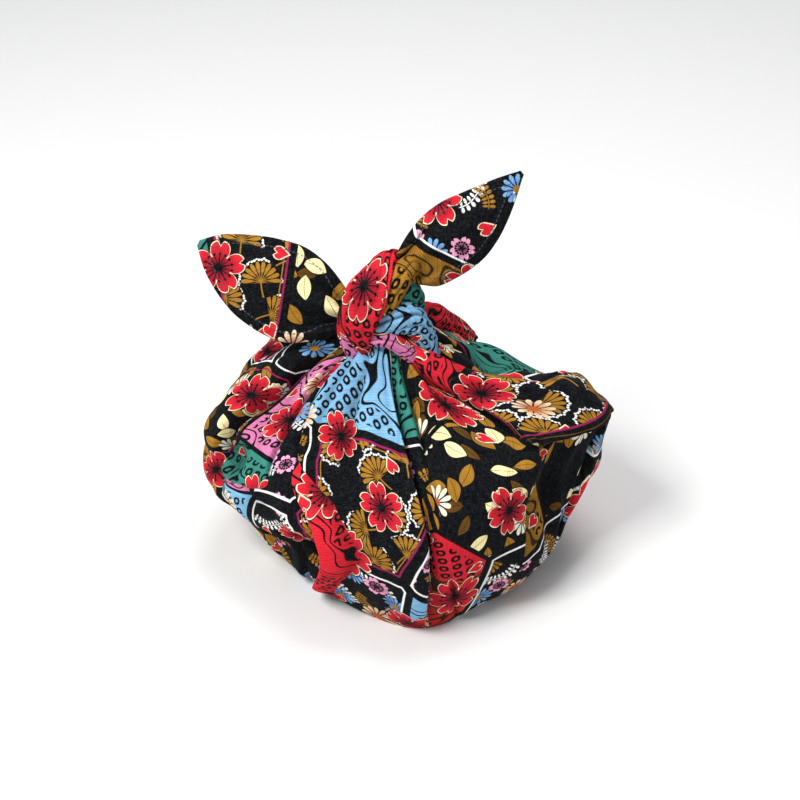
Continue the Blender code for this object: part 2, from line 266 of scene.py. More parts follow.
# a ledge is an edge that runs along the side and hangs over what is below it; line is its level at some
# bearings, rise how far it stands out, and drop and reach how deep and how far down the side sinks in below
Ledge = namedtuple("Ledge", "name line rise drop reach")
ledges = [
    Ledge(
        "right lip", ((320, 5.7), (326, 5.42), (332, 5.24), (338, 5.13), (346, 5.15), (354, 5.3)),
        1.6, 9.0, 15,
    ),
    Ledge("left shelf", ((196, 5.35), (206, 5.2), (218, 5.0)), 0.6, 1.6, 7),
]

# a hollow is pressed into the side, and one with a depth below 0 swells out of it
Hollow = namedtuple("Hollow", "name bearing level across up depth")
hollows = [
    Hollow("left pocket", 196, 5.6, 9, 8, 6.5),
    Hollow("corner scoop", 231, 3.3, 7, 11, 8),
    Hollow("lobe hump", 355, 6.25, 17, 10, -7.5),
    Hollow("back slope", 14, 7.0, 15, 9, 6.5),
    Hollow("right flank", 350, 3.7, 16, 11, -3),
    Hollow("left shoulder", 178, 5.8, 22, 12, 3),
    Hollow("left low hump", 192, 4.1, 16, 9, -2.5),
    Hollow("left foot", 216, 2.8, 20, 10, 4),
    Hollow("front foot", 262, 1.9, 26, 8, 1.8),
    Hollow("right foot", 345, 3.1, 22, 14, 3.5),
]


def bundleLevels():
    rows = bundle["rowsPerLevel"]
    return np.concatenate([k + np.arange(n) / n for k, n in enumerate(rows)] + [[len(rows)]])


def bundleOutline(bearing, level):
    # radius and height before any fold, for rows of bearings at each level
    radius, height = [], []
    for bearings, lev in zip(bearing % 360, level):
        read = {
            name: roundCurve([s.bearing for s in sections], [getattr(s, name) for s in sections], bearings)
            for name in Section._fields[1:]
        }
        flat = np.zeros(len(bearings))
        radii = [
            flat, read["base"], read["base"] + 0.5 * (read["belly"] - read["base"]), read["belly"],
            read["tuck"], read["lip"], read["crown"], read["slope"], flat + bundle["neckRadius"],
        ]
        heights = [
            flat, flat, 0.27 * read["bellyZ"], read["bellyZ"],
            read["tuckZ"], read["lipZ"], read["crownZ"], read["slopeZ"], flat + bundle["neckZ"],
        ]
        k = min(int(lev), len(radii) - 2)
        t = lev - k
        radius.append(between(radii, k, t) if k else radii[1] * t)
        height.append(between(heights, k, t) if k else flat)
    return np.array(radius), np.array(height)


def turned(bearings):
    # the same bearings without a jump past 360
    return np.degrees(np.unwrap(np.radians(bearings)))


def foldLine(fold, level):
    levels, bearings = zip(*fold.line)
    return lineThrough(tuple(zip(levels, turned(bearings))), level)


def bearingGap(bearing, line):
    return (bearing - line + 180) % 360 - 180


def foldMoves(bearing, lev, radius):
    # how far each point stands out, and how far it leans along the side, for all the folds
    out, side = np.zeros_like(radius), np.zeros_like(radius)
    for f in folds:
        low, high = f.line[0][0], f.line[-1][0]
        away = np.radians(bearingGap(bearing, foldLine(f, lev))) * radius
        bell = np.exp(-(np.abs(away / np.where(away < 0, f.cw, f.ccw)) ** 2.2))
        strength = smoothStep(low - 0.5, low + 0.7, lev) * (1 - 0.5 * smoothStep(7.2, 8, lev))
        if high < 8:
            strength = strength * (1 - smoothStep(high - 0.4, high + 0.5, lev))
        crease = np.exp(-(np.abs((away - f.cut) / bundle["creaseWidth"]) ** 1.5)) * (f.cut != 0)
        out += strength * (bell * f.rise - crease * bundle["creaseDepth"])
        side += strength * bell * f.lean
    return out, side


def ledgeGap(ledge, bearing, run, guide):
    # how far up the side each point is from the ledge's edge
    line = lineThrough(ledge.line, guide["bearings"])
    edge = np.array([np.interp(at, guide["level"], guide["run"][:, j]) for j, at in enumerate(line)])
    return run - np.interp(bearing % 360, guide["bearings"], edge)


def ledgeEnds(ledge, bearing):
    # 1 along the ledge, fading to 0 past its ends
    start, end = ledge.line[0][0], ledge.line[-1][0]
    at = bearing % 360
    return smoothStep(start - 6, start + 5, at) * (1 - smoothStep(end - 5, end + 8, at))


def ledgeMoves(bearing, run, guide):
    out = np.zeros_like(run)
    for k in ledges:
        far = ledgeGap(k, bearing, run, guide)
        above = k.rise * np.exp(-((far / 6) ** 2))
        sharp = np.exp(-((far / 1.6) ** 2))
        below = k.rise * sharp - k.drop * (1 - sharp) * np.exp(-((far / k.reach) ** 2))
        out += np.where(far > 0, above, below) * ledgeEnds(k, bearing)
    return out


def gatherMoves(bearing, lev, radius):
    # the many narrow gathers under the knot, long pulls down from it, and short soft creases over the rest
    chance = np.random.default_rng(bundle["seed"])
    out = np.zeros_like(radius)
    for k in range(bundle["gathers"]):
        at = 360 * (k + chance.uniform(-0.35, 0.35)) / bundle["gathers"]
        swing = chance.uniform(-8, 8)
        low = chance.uniform(5.9, 7.3)
        wide = chance.uniform(0.8, 1.7)
        deep = chance.uniform(0.7, 1.7)
        away = np.abs(np.radians(bearingGap(bearing, at + swing * (8 - lev))) * radius)
        shape = 0.45 * np.exp(-((away / (2.6 * wide)) ** 2)) - np.exp(-((away / wide) ** 1.2))
        out += deep * shape * smoothStep(low - 0.4, low + 1.0, lev)
    for _ in range(bundle["pulls"]):
        at = chance.uniform(0, 360)
        swing = chance.normal(0, 5)
        low = chance.uniform(2.5, 5.0)
        high = chance.uniform(5.8, 7.6)
        wide = chance.uniform(2.5, 5.5)
        rise = chance.choice([-1, 1]) * chance.uniform(0.4, 0.95)
        away = np.radians(bearingGap(bearing, at + swing * (8 - lev))) * radius
        fade = smoothStep(low, low + 1.2, lev) * (1 - smoothStep(high, high + 1, lev))
        out += rise * np.exp(-((away / wide) ** 2)) * fade
    for _ in range(bundle["creases"]):
        at = chance.uniform(0, 360)
        mid = chance.uniform(1.6, 6.9)
        slant = chance.normal(0, 14)
        reach = chance.uniform(0.3, 0.9)
        wide = chance.uniform(1.4, 3.6)
        rise = chance.choice([-1, 1]) * chance.uniform(0.2, 0.6)
        away = np.radians(bearingGap(bearing, at + slant * (lev - mid))) * radius
        out += rise * np.exp(-((away / wide) ** 2) - ((lev - mid) / reach) ** 2)
    return out


def dentMoves(skin):
    # broad unevenness, as in cloth over soft packed food
    chance = np.random.default_rng(bundle["seed"] + 1)
    out = np.zeros(skin.shape[:2])
    for _ in range(bundle["dents"]):
        way = unit(chance.normal(size=3))
        wave = chance.uniform(26, 60)
        out += np.sin(skin @ way * 2 * math.pi / wave + chance.uniform(0, 6.28)) * bundle["dentDepth"]
    return out


# A seam is where one stretch of the print meets the next, down in a fold's crease; the skin's columns follow
# it. Between two seams the print lies on the skin at its real size, about the bearing of its middle, and slid
# on the flat cloth by shift. columns is how many there are up to the next seam.
Seam = namedtuple("Seam", "fold columns middle shift")
seams = [
    Seam("left roll", 32, 201, (-45, -3)),
    Seam("pink strip edge", 32, 214, (96, 228)),
    Seam("front edge", 24, 240, (-7, -52)),
    Seam("curl groove", 70, 252, (-31, 320)),
    Seam("front pleat", 18, 277, (-51, 312)),
    Seam("narrow pleat", 84, 298, (56, 308)),
    Seam("roll edge", 86, 335, (81, -9)),
    Seam("right roll back", 74, 20, (357, 72)),
    Seam("back right valley", 46, 78, (0, 0)),
    Seam("back pleat", 72, 128, (0, 0)),
    Seam("back side crease", 68, 172, (366, 231)),
]
# past the first level a seam follows its own fold, and past the second, the other way, the other fold
joins = {
    "left roll": ("left side crease", 5.2, 4.6),
    "pink strip edge": ("left roll", 5.6, 4.4),
    "front edge": ("corner curl", 5.9, 5.2),
    "curl groove": ("front edge", 5.7, 6.5),
    "narrow pleat": ("front pleat", 6.5, 5.8),
    "roll edge": ("front right edge", 6.1, 5.4),
    "right roll back": ("recess right edge", 6.4, 5.2),
}


def seamBearings(level, guide):
    known = {f.name: f for f in folds}

    def crease(name):
        line = foldLine(known[name], level)
        radius = np.array([np.interp(at % 360, guide["bearings"], r) for at, r in zip(line, guide["radius"])])
        return line + np.degrees(known[name].cut / np.maximum(radius, bundle["seamRadius"]))

    lines = []
    for s in seams:
        line = crease(s.fold)
        if s.fold in joins:
            other, high, low = joins[s.fold]
            line = line + bearingGap(crease(other), line) * (1 - smoothStep(low, high, level))
        if lines:
            wide = np.maximum(guide["radius"].mean(axis=1), bundle["seamRadius"])
            apart = np.degrees(bundle["seamGap"] / wide)
            line = lines[-1] + np.maximum(bearingGap(line, lines[-1]), apart)
        lines.append(line)
    return lines + [lines[0] + 360]


def columnBearings(level, guide):
    # columns that follow the seams, closest together beside them
    lines = seamBearings(level, guide)
    parts = []
    for s, low, high in zip(seams, lines, lines[1:]):
        t = np.arange(s.columns) / s.columns
        t = t - 0.45 * np.sin(2 * math.pi * t) / (2 * math.pi)
        parts.append(low[:, None] + (high - low)[:, None] * t)
    return np.concatenate(parts, axis=1)


def bundleSkin():
    # for points in rows by level: bearing, radius and run up the side of the plain outline, the folded skin,
    # how far each is a crest and how far it is above the right lip
    level = bundleLevels()
    even = np.tile(np.arange(361.0), (len(level), 1))
    evenRadius, evenHeight = bundleOutline(even, level)
    step = np.hypot(np.diff(evenRadius, axis=0), np.diff(evenHeight, axis=0))
    guide = {
        "level": level,
        "bearings": even[0],
        "radius": np.maximum(evenRadius, 1),
        "run": np.concatenate([np.zeros((1, 361)), np.cumsum(step, axis=0)]),
    }
    bearing = columnBearings(level, guide)
    lev = np.tile(level[:, None], (1, bearing.shape[1]))
    radius, height = bundleOutline(bearing, level)
    run = np.array([np.interp(b % 360, even[0], r) for b, r in zip(bearing, guide["run"])])
    a = np.radians(bearing)
    over = smoothStep(bundle["leanStart"], 8, lev)
    skin = np.stack([
        bundle["neckX"] * over + radius * np.cos(a),
        bundle["neckY"] * over + radius * np.sin(a),
        height,
    ], -1)
    up = np.gradient(skin, axis=0)
    roundIt = (np.roll(skin, -1, axis=1) - np.roll(skin, 1, axis=1)) / 2
    out = unit(np.cross(roundIt, up))
    sideways = np.stack([-np.sin(a), np.cos(a), 0 * a], -1)
    proud, side = foldMoves(bearing, lev, radius)
    pressed = np.zeros_like(proud)
    for h in hollows:
        row = np.abs(level - h.level).argmin()
        centre = skin[row, np.abs(bearingGap(bearing[row], h.bearing)).argmin()]
        gap = skin - centre
        across = (gap * sideways).sum(-1) / h.across
        high = (gap * np.cross(out, sideways)).sum(-1) / h.up
        near = np.linalg.norm(gap, axis=-1) < 3 * max(h.across, h.up)
        pressed += np.exp(-((across**2 + high**2) ** 1.5)) * near * h.depth
    fine = gatherMoves(bearing, lev, radius) + dentMoves(skin) + ledgeMoves(bearing, run, guide)
    free = smoothStep(1.0, 2.2, lev)
    move = proud - pressed + fine
    skin = skin + (move[..., None] * out + side[..., None] * sideways) * free[..., None]
    skin[..., 2] = np.where(lev <= 1, 0, np.maximum(skin[..., 2], 0.3))
    # the crest measure, 1 where the skin stands out and -1 in a crease; the cotton paints shade into the
    # creases with it and lightens the crests
    wide = bundle["crestColumns"]
    around = np.concatenate([move[:, -wide:], move, move[:, :wide]], axis=1)
    local = sum(around[:, k:k + move.shape[1]] for k in range(2 * wide + 1)) / (2 * wide + 1)
    crest = np.clip((move - local) / bundle["crestRise"], -1, 1) * free
    return bearing, radius, run, skin, crest, ledgeGap(ledges[0], bearing, run, guide)


def closed(values, step=0):
    # the first column again after the last one, step further on
    return np.concatenate([values, values[:, :1] + step], axis=1)


def evenedUp(values, rows):
    # the same values, averaged over rows either way up the skin
    padded = np.pad(values, ((rows, rows), (0, 0)), mode="edge")
    sums = np.cumsum(np.concatenate([np.zeros((1, values.shape[1])), padded]), axis=0)
    return (sums[2 * rows + 1:] - sums[:-2 * rows - 1]) / (2 * rows + 1)


def makeBundle():
    bearing, radius, run, skin, crest, aboveLip = bundleSkin()
    rows, columns = bearing.shape
    slope = np.gradient(radius, axis=0) / np.maximum(np.gradient(run, axis=0), 1e-6)
    hop = evenedUp(np.linalg.norm(np.diff(closed(skin), axis=1), axis=-1), 6)
    roundRun = np.concatenate([np.zeros((rows, 1)), np.cumsum(hop, axis=1)], axis=1)
    turns = closed(bearing, 360)
    bend = evenedUp(closed(slope), 4) / (2 * np.maximum(closed(radius), bundle["bendRadius"]))

    def stretch(seam):
        # the flat cloth's places for one stretch of the print, with a column more than the skin
        middle = turns[:, 0] + (seam.middle - turns[:, 0]) % 360
        across = roundRun - np.array([[np.interp(m, b, r)] for m, b, r in zip(middle, turns, roundRun)])
        curve = np.clip(bend * across**2, -bundle["bendLimit"], bundle["bendLimit"])
        return clothPlace(closed(run) - curve, across, seam.middle) + np.array(seam.shift)

    maps = np.array([stretch(s) for s in seams])
    own = np.repeat(np.arange(len(seams)), [s.columns for s in seams])
    lipSeam = [s.fold for s in seams].index("roll edge")
    slides = np.zeros((rows, columns, 2))
    slides[(own == lipSeam) & (aboveLip < bundle["underLipStart"])] = bundle["underLip"]
    first = 1
    j = np.arange(columns)
    index = lambda i, j: (i - first) * columns + j % columns
    faces, corners = [], []
    for i in range(first, rows - 1):
        for k in range(columns):
            faces.append((index(i, k), index(i, k + 1), index(i + 1, k + 1), index(i + 1, k)))
        low, high = maps[own, i], maps[own, i + 1]
        quad = np.stack([low[j, j], low[j, j + 1], high[j, j + 1], high[j, j]], 1)
        corners.append((quad + slides[i][:, None]).reshape(-1, 2))
    points = skin[first:].reshape(-1, 3)
    middle, neck = len(points), len(points) + 1
    neckPoint = np.array([bundle["neckX"], bundle["neckY"], bundle["neckZ"] + 2.0])
    points = np.concatenate([points, [np.zeros(3)], [neckPoint]])
    faces += [(middle, index(first, k + 1), index(first, k)) for k in range(columns)]
    centre, edge = maps[own, 0], maps[own, first]
    corners.append(np.stack([centre[j, j], edge[j, j + 1], edge[j, j]], 1).reshape(-1, 2))
    faces += [(neck, index(rows - 1, k), index(rows - 1, k + 1)) for k in range(columns)]
    top = maps[own, rows - 1]
    corners.append(np.stack([top[j, j], top[j, j], top[j, j + 1]], 1).reshape(-1, 2))
    marks = {
        "crest": crest,
        "lipGap": np.clip(aboveLip, -20, 20),
        "lipShow": smoothStep(0.4, 0.6, ledgeEnds(ledges[0], bearing)),
    }
    marks = {name: np.concatenate([values[first:].ravel(), [0, 0]]) for name, values in marks.items()}
    return gridPiece("bundle", points, faces, np.concatenate(corners), marks)


# Knot

Place = namedtuple("Place", "x y z wide thick")
# lobes is how uneven the roll is round its girth; a crease runs along it at a turn in degrees, with 90 on the
# outer side, its drift along the roll, its depth and its width; run, bearing and shift are where on the flat
# cloth its print lies
Roll = namedtuple("Roll", "name places lobes creases run bearing shift")
rolls = [
    Roll("knot_core", [
        Place(-15, 0, 98, 11, 10), Place(-14, 1, 112, 11, 10), Place(-13, 1, 127, 10.5, 9),
        Place(-11, 1, 138, 9, 8), Place(-9, 1, 145, 5, 5),
    ], 0.06, [(t, 20 * (-1) ** k, 1.7, 1.1) for k, t in enumerate(range(0, 360, 32))], 230, 75, (0, 0)),
    Roll("front_wrap", [
        Place(-18.5, -9, 104, 2, 2), Place(-19, -13, 112, 2.6, 2.6), Place(-21, -15.5, 119, 4.6, 4.4),
        Place(-22, -16, 127.5, 8, 5.8), Place(-20.5, -15.3, 136, 9.5, 6.2), Place(-17.5, -12, 142.5, 9, 6),
        Place(-14, -6, 146.5, 7.5, 5.5), Place(-11, 1, 147, 7, 5.5), Place(-9, 7, 143, 8, 5),
        Place(-8, 10, 133, 8.5, 5), Place(-9, 10, 119, 6, 5),
    ], 0.03, [
        (152, 10, 1.8, 0.9), (118, -22, 1.3, 0.8), (88, 20, 1.0, 0.7), (52, -14, 1.5, 0.8), (16, 6, 1.4, 1.0),
        (205, 0, 1.4, 1.2), (300, 10, 1.2, 1.2),
    ], 27, 200, (168, 77)),
    Roll("ear_root", [
        Place(-12, -6, 124, 2.5, 2.5), Place(-11.5, -10, 129, 4, 4), Place(-9.5, -11, 136, 5.2, 4.8),
        Place(-6.5, -8.5, 142, 5.8, 5), Place(-3, -4, 145.5, 6, 5), Place(1, 0.5, 148, 5, 4.2),
        Place(5, 2.5, 151, 3, 2.6),
    ], 0.03, [
        (130, 24, 1.6, 0.8), (86, -20, 1.3, 0.7), (50, 12, 1.3, 0.8), (170, 0, 1.2, 0.9),
    ], 262, 0, (222, -230)),
    Roll("back_wrap", [
        Place(-8, -6, 139, 4, 4), Place(-1, -3, 136, 6, 4.5), Place(2, 2, 128, 7, 4.5),
        Place(0, 6, 118, 6, 4.5), Place(-6, 6, 108, 4, 4),
    ], 0.05, [(45, 10, 1.3, 0.8), (85, -14, 1.5, 0.8), (128, 8, 1.3, 0.8)], 200, 140, (134, -76)),
    Roll("gathered_roll", [
        Place(-20, -9, 116, 4, 4), Place(-15.5, -12, 122.5, 5.5, 5), Place(-9.5, -12.5, 126.5, 6.6, 5.6),
        Place(-3.5, -11, 127.5, 7, 6), Place(1.5, -9, 124.5, 6.6, 5.8), Place(5.5, -8, 117.5, 5.6, 5.2),
        Place(8.5, -8.5, 109.5, 4.6, 4.2), Place(10.5, -8, 100, 3, 3),
    ], 0.03, [
        (118, -30, 2.2, 0.9), (78, 16, 1.3, 0.7), (152, -10, 1.5, 0.8), (178, 10, 1.2, 0.9),
        (40, 6, 1.3, 0.8), (10, 6, 1.3, 0.8),
    ], 120, 20, (-298, -157)),
    Roll("neck_ruffle", [
        Place(-22, -12, 114, 2.2, 2.2), Place(-17.5, -16, 119.5, 3.2, 3), Place(-12, -17, 121, 3.6, 3.3),
        Place(-6.5, -16.5, 118.5, 3.6, 3.4), Place(-1, -15.5, 113, 3.6, 3.4), Place(4.5, -13, 105, 3, 3),
        Place(8, -8, 97, 2.4, 2.4),
    ], 0.03, [
        (70, 40, 1.1, 0.6), (105, -30, 1.3, 0.6), (140, 30, 1.1, 0.6), (30, 10, 1.0, 0.6), (180, 0, 1.0, 0.6),
    ], 95, 300, (44, -28)),
    Roll("back_roll", [
        Place(-4, 4, 112, 4, 4), Place(3, 9, 116, 5.2, 4.8), Place(10, 16, 112, 6.4, 5.4),
        Place(16, 24, 103.5, 6.6, 5.2), Place(22, 32, 94, 6, 5), Place(28, 40, 84, 4, 4),
    ], 0.05, [
        (58, 12, 1.7, 0.9), (98, -16, 2.0, 0.9), (142, 10, 1.6, 0.9), (20, 5, 1.2, 1.0),
    ], 90, 320, (0, 0)),
    Roll("side_gather", [
        Place(-24, -4, 138, 1.8, 1.8), Place(-28, -8.5, 131, 2.8, 2.5), Place(-28.5, -11.5, 122, 3.4, 3),
        Place(-26, -12.5, 113.5, 3.4, 3), Place(-21.5, -11, 104, 2.6, 2.6),
    ], 0.04, [
        (t, 12 * (-1) ** k, 0.8, 0.5) for k, t in enumerate(range(20, 230, 26))
    ], 150, 260, (-193, -22)),
]
knot = {"sides": 160, "steps": 12, "seed": 4, "crestRise": 1.2}


def makeRoll(roll):
    line = alongCurve(roll.places, knot["steps"])
    middle = line[:, :3]
    ahead = unit(np.gradient(middle, axis=0))
    core = alongCurve(rolls[0].places, 20)[:, :3]
    chance = np.random.default_rng(knot["seed"] + len(roll.name))
    waves = [
        (lobes, chance.uniform(0, 6.28), chance.uniform(0.4, 1), chance.uniform(-1.2, 1.2))
        for lobes in (2, 3, 5)
    ]
    turn = np.arange(knot["sides"]) * 2 * math.pi / knot["sides"]
    length = np.concatenate([[0], np.cumsum(np.linalg.norm(np.diff(middle, axis=0), axis=1))])
    rings, crest = [], []
    for point, way, (wide, thick), far in zip(middle, ahead, line[:, 3:], length / length[-1]):
        nearest = core[np.abs(core[:, 2] - point[2]).argmin()]
        out = point - nearest if roll.name != "knot_core" else np.array([0, -1.0, 0])
        out = unit(out - way * (out @ way))
        across = np.cross(way, out)
        uneven = sum(tall * np.cos(n * turn + at + drift * far) for n, at, tall, drift in waves)
        size = 1 + roll.lobes * uneven
        reach = np.hypot(np.cos(turn) * wide, np.sin(turn) * thick)
        for at, drift, deep, narrow in roll.creases:
            bottom = math.radians(at + drift * (far - 0.5) + 4 * math.sin(far * 7 + at))
            away = np.abs((turn - bottom + math.pi) % (2 * math.pi) - math.pi) * reach / narrow
            valley = np.exp(-(away**1.3)) - 0.35 * np.exp(-((away / 2.8) ** 2))
            fades = 0.65 + 0.35 * math.cos(far * 5 + at)
            size = size - deep / reach * fades * valley
        crest.append((size - 1) * reach)
        rings.append(
            point + np.outer(np.cos(turn) * wide * size, across) + np.outer(np.sin(turn) * thick * size, out)
        )
    rings = np.array(rings)
    rows, sides = len(rings), knot["sides"]
    hop = np.linalg.norm(np.roll(rings, -1, axis=1) - rings, axis=-1)
    roundRun = np.concatenate([np.zeros((rows, 1)), np.cumsum(hop, axis=1)], axis=1)
    # the print's cut is on the hidden side, at three quarters of the turn
    quarter = sides // 4
    across = roundRun - roundRun[:, quarter:quarter + 1]
    along = roll.run + length[:, None] + 0 * across
    flat, flatBack = (
        clothPlace(along, across - back, roll.bearing) + np.array(roll.shift)
        for back in (0, roundRun[:, -1:])
    )
    faces, corners = [], []
    for i in range(rows - 1):
        for j in range(sides):
            n = (j + 1) % sides
            faces.append((i * sides + j, (i + 1) * sides + j, (i + 1) * sides + n, i * sides + n))
            use = flatBack if j >= 3 * quarter else flat
            corners += [use[i, j], use[i + 1, j], use[i + 1, j + 1], use[i, j + 1]]
    points = rings.reshape(-1, 3)
    ends = [(0, middle[0] - ahead[0], 1), ((rows - 1) * sides, middle[-1] + ahead[-1], -1)]
    for start, point, sense in ends:
        hub = len(points)
        points = np.concatenate([points, [point]])
        row = start // sides
        for j in range(sides):
            n = (j + 1) % sides
            order = (hub, start + j, start + n) if sense > 0 else (hub, start + n, start + j)
            faces.append(order)
            corners += [flat[row, j]] * 3
    # the roll's crest measure, which the cotton uses to paint shade into its creases and lighten its crests
    crest = np.concatenate([np.clip(np.ravel(crest) / knot["crestRise"], -1, 1), [0, 0]])
    return gridPiece(roll.name, points, faces, corners, {"crest": crest})


# Ears

# how far an ear reaches above and below its middle line so far along it, how far each of the two sides bends
# back, and how far the whole bows back
Span = namedtuple("Span", "along above below bendAbove bendBelow bow")
leftSpans = [
    Span(-7, 6, 7, 2, 2, 1), Span(0, 9, 11, 3, 4, 0), Span(6, 12.5, 17, 4, 6, -1),
    Span(15, 16.5, 22, 5, 7, -2), Span(26, 18.5, 23.2, 5, 7, -2), Span(38, 16.5, 21.5, 4, 5, -1),
    Span(46, 14, 18.5, 3, 4, 1), Span(54, 10.8, 14, 2, 2, 3), Span(61, 7, 8.5, 1, 1, 5),
    Span(67.5, 1.2, 1.2, 0, 0, 7),
]
rightSpans = [
    Span(-7, 4, 5, 1, 2, 2), Span(0, 5.5, 9.5, 2, 5, 0), Span(5, 7.5, 15, 3, 11, -1),
    Span(12, 10, 17, 4, 13, -2), Span(21, 11.8, 18.2, 4, 12, -2), Span(30, 11.6, 18, 4, 10, -1),
    Span(39, 9.4, 15.7, 3, 7, 0), Span(47, 7.1, 12.2, 2, 4, 2), Span(55, 4.8, 7.6, 1, 2, 4),
    Span(61, 2.6, 3.6, 0, 1, 5), Span(65, 1, 1, 0, 0, 6),
]
# faces is 1 or -1 for the side of its line that is up; flat is its size in m and area its area in m2
Ear = namedtuple("Ear", "name root tip faces spans pleats bearing shift flat area")
ears = [
    Ear(
        "left_ear", (-30.5, -3, 125.6), (-91.0, 6, 155.3), 1, leftSpans, 3.0,
        180, (252, 177), (0.046, 0.078), 0.0026,
    ),
    Ear(
        "right_ear", (-3.6, 0, 145.9), (45.6, 6, 188.3), -1, rightSpans, 2.2,
        0, (222, -230), (0.036, 0.076), 0.0019,
    ),
]
ear = {"steps": 10, "columns": 96, "nearSide": (0, -0.82, 0.57)}


def earMiddle(e):
    root, tip = np.array(e.root, float), np.array(e.tip, float)
    along = unit(tip - root)
    nearSide = np.array(ear["nearSide"])
    face = unit(nearSide - along * (nearSide @ along))
    above = np.cross(along, face) * e.faces
    rows = alongCurve(e.spans, ear["steps"])
    side = np.linspace(-1, 1, ear["columns"])
    middle, flat = [], []
    for s, up, down, bendUp, bendDown, bow in rows:
        width = np.where(side > 0, up, down)
        bend = np.where(side > 0, bendUp, bendDown) * np.abs(side) ** 2.2
        beyond = max(s, 0)
        pleats = e.pleats * np.cos(side * 7.5) * np.exp(-((beyond / 18) ** 2))
        creases = 0.5 * np.cos(side * 17 + s / 9) * np.exp(-beyond / 22)
        waves = 0.6 * np.sin(s / 8.5 + side * 1.5) * np.abs(side) ** 1.5
        out = pleats + creases + waves - bend - bow
        middle.append(root + s * along + np.outer(side * width, above) + np.outer(out, face))
        flat.append(np.stack([s + 0 * side, side * width * e.faces], -1))
    return np.array(middle), np.array(flat), rows


def rimGap(flat):
    # how far each place on an ear is from its edge, in mm
    rim = np.concatenate([flat[:, 0], flat[-1], flat[::-1, -1]])
    gap = np.full(flat.shape[:2], 99.0)
    for p, q in zip(rim[:-1], rim[1:]):
        leg = q - p
        size = leg @ leg
        if size < 1e-9:
            continue
        t = np.clip(((flat - p) @ leg) / size, 0, 1)
        gap = np.minimum(gap, np.linalg.norm(flat - p - t[..., None] * leg, axis=-1))
    return gap


def makeEar(e):
    middle, flat, rows = earMiddle(e)
    away = unit(np.cross(np.gradient(middle, axis=0), np.gradient(middle, axis=1)))
    gap = rimGap(flat)
    hem = 1 - smoothStep(cloth["hemWidth"] - 0.5, cloth["hemWidth"] + 0.3, gap)
    edge = np.sqrt(np.clip(gap / 0.7, 0.05, 1))
    thick = (cloth["thickness"] + (cloth["hemThickness"] - cloth["thickness"]) * hem) * edge / 2
    front = middle + away * thick[..., None]
    back = middle - away * thick[..., None]
    n, m = middle.shape[:2]
    run = cloth["halfDiagonal"] - rows[-1][0] + flat[..., 0]
    place = clothPlace(run, flat[..., 1], e.bearing) + np.array(e.shift)
    points = np.concatenate([front.reshape(-1, 3), back.reshape(-1, 3)])
    faces, corners = [], []
    cell = lambda layer, i, j: layer * n * m + i * m + j
    toward = (away[n // 2, m // 2] @ np.array(ear["nearSide"])) > 0
    for i in range(n - 1):
        for j in range(m - 1):
            ring = [(i, j), (i, j + 1), (i + 1, j + 1), (i + 1, j)]
            for layer in (0, 1):
                order = ring[::-1] if layer == 0 else ring
                faces.append(tuple(cell(layer, *c) for c in order))
                corners += [place[c] for c in order]
    rim = [(i, 0) for i in range(n)] + [(n - 1, j) for j in range(1, m)]
    rim += [(i, m - 1) for i in range(n - 2, -1, -1)] + [(0, j) for j in range(m - 2, 0, -1)]
    for k, a in enumerate(rim):
        b = rim[(k + 1) % len(rim)]
        faces.append((cell(0, *a), cell(0, *b), cell(1, *b), cell(1, *a)))
        corners += [place[a], place[b], place[b], place[a]]
    wrong = np.repeat([0.0, 1.0] if toward else [1.0, 0.0], n * m)
    return gridPiece(e.name, points, faces, corners, {"wrongSide": wrong, "rimGap": np.tile(gap.ravel(), 2)})


bundlePiece = makeBundle()
rollPieces = [makeRoll(r) for r in rolls]
earPieces = [makeEar(e) for e in ears]
print("cloth shaped:", len(bundlePiece.data.polygons), "faces in the bundle")

# Print and weave


def joined(operation):
    # the method of Wire for one of Python's operators
    return lambda self, other: self.math(operation, other)


